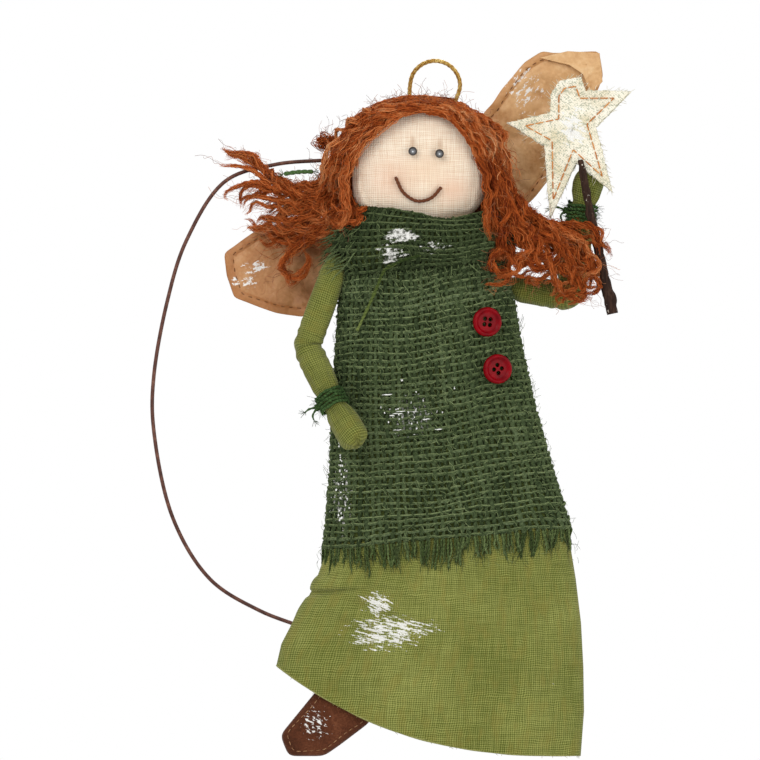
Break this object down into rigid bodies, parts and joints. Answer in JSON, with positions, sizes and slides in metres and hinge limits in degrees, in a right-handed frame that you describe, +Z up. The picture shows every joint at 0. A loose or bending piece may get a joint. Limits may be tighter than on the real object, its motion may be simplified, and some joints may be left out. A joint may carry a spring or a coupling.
{
  "type": "angel pendant ornament",
  "caption": "Hanging rag-doll angel in layered burlap and cotton clothes, with bendable arms, a star wand, folding cloth wings and a side wire bow.",
  "frame": {"origin": "inside top of the hanging loop, where the ornament rests on its hook", "axes": "+Z up, +X to the right seen from the front, front towards -Y"},
  "size_m": [0.1437, 0.0309, 0.2121],
  "materials": {
    "muslin": "cream muslin, matte plain weave",
    "bead": "dark glossy bead",
    "brown_thread": "brown sewing thread",
    "jute_hair": "red-brown combed jute fibre",
    "gold_cord": "twisted gold metallic cord",
    "burlap": "dark green open burlap weave",
    "olive_cotton": "olive cotton, fine plain weave",
    "red_button": "glossy dark red",
    "green_yarn": "dark green fuzzy yarn",
    "bark": "dark brown twig with bark",
    "star_cloth": "cream cloth with glitter and a stitched outline",
    "shoe_felt": "brown felt",
    "wing_cloth": "tan waxed cloth with a stitched hem",
    "bow_wire": "brown lacquered wire",
    "core_wire": "bare steel wire"
  },
  "bodies": {
    "body": {"torso": "muslin", "head": "muslin", "left_eye": "bead", "right_eye": "bead", "mouth_stitch": "brown_thread", "hair_crown": "jute_hair", "hair_left_bunch": "jute_hair", "hair_right_bunch": "jute_hair", "hair_yarn": "green_yarn", "hanging_loop": "gold_cord", "tunic": "burlap", "collar": "burlap", "skirt": "olive_cotton", "upper_button": "red_button", "lower_button": "red_button"},
    "left_arm_upper": {"left_upper_arm": "olive_cotton", "left_upper_arm_wire": "core_wire"},
    "left_arm_lower": {"left_forearm": "olive_cotton", "left_forearm_wire": "core_wire", "left_cuff": "green_yarn"},
    "right_arm_upper": {"right_upper_arm": "olive_cotton", "right_upper_arm_wire": "core_wire"},
    "right_arm_lower": {"right_forearm": "olive_cotton", "right_forearm_wire": "core_wire", "right_cuff": "green_yarn", "wand_twig": "bark", "star_front": "star_cloth", "star_back": "star_cloth"},
    "leg": {"leg": "muslin", "shoe_front": "shoe_felt", "shoe_back": "shoe_felt"},
    "wing_left": {"left_wing": "wing_cloth"},
    "wing_right": {"right_wing": "wing_cloth"},
    "wire": {"wire_bow": "bow_wire"}
  },
  "joints": [
    {"name": "left_shoulder", "type": "hinge", "parent": "body", "child": "left_arm_upper", "pos_m": [-0.02976, -0.002, -0.0609], "axis": [0, 1, 0], "range_deg": [0, 60]},
    {"name": "left_elbow", "type": "hinge", "parent": "left_arm_upper", "child": "left_arm_lower", "pos_m": [-0.03846, -0.002, -0.08519], "axis": [0, 1, 0], "range_deg": [0, 60]},
    {"name": "right_shoulder", "type": "hinge", "parent": "body", "child": "right_arm_upper", "pos_m": [0.0248, 0.003, -0.068], "axis": [0, 1, 0], "range_deg": [0, 40]},
    {"name": "right_elbow", "type": "hinge", "parent": "right_arm_upper", "child": "right_arm_lower", "pos_m": [0.0404, 0.003, -0.0705], "axis": [0, 1, 0], "range_deg": [0, 45]},
    {"name": "leg_swing", "type": "hinge", "parent": "body", "child": "leg", "pos_m": [0.006, 0, -0.146], "axis": [0, 1, 0], "range_deg": [-4, 8]},
    {"name": "left_wing_fold", "type": "hinge", "parent": "body", "child": "wing_left", "pos_m": [-0.0105, 0.01201, -0.0579], "axis": [0.1508, 0, -0.9886], "range_deg": [0, 40], "stiffness_Nm_per_rad": 0.003},
    {"name": "right_wing_fold", "type": "hinge", "parent": "body", "child": "wing_right", "pos_m": [0.0105, 0.01094, -0.0504], "axis": [-0.8137, 0, 0.5812], "range_deg": [0, 40], "stiffness_Nm_per_rad": 0.003},
    {"name": "wire_swing", "type": "hinge", "parent": "body", "child": "wire", "pos_m": [-0.02254, 0.0075, -0.029], "axis": [-0.1269, -0.0227, -0.9917], "range_deg": [0, 45]}
  ]
}
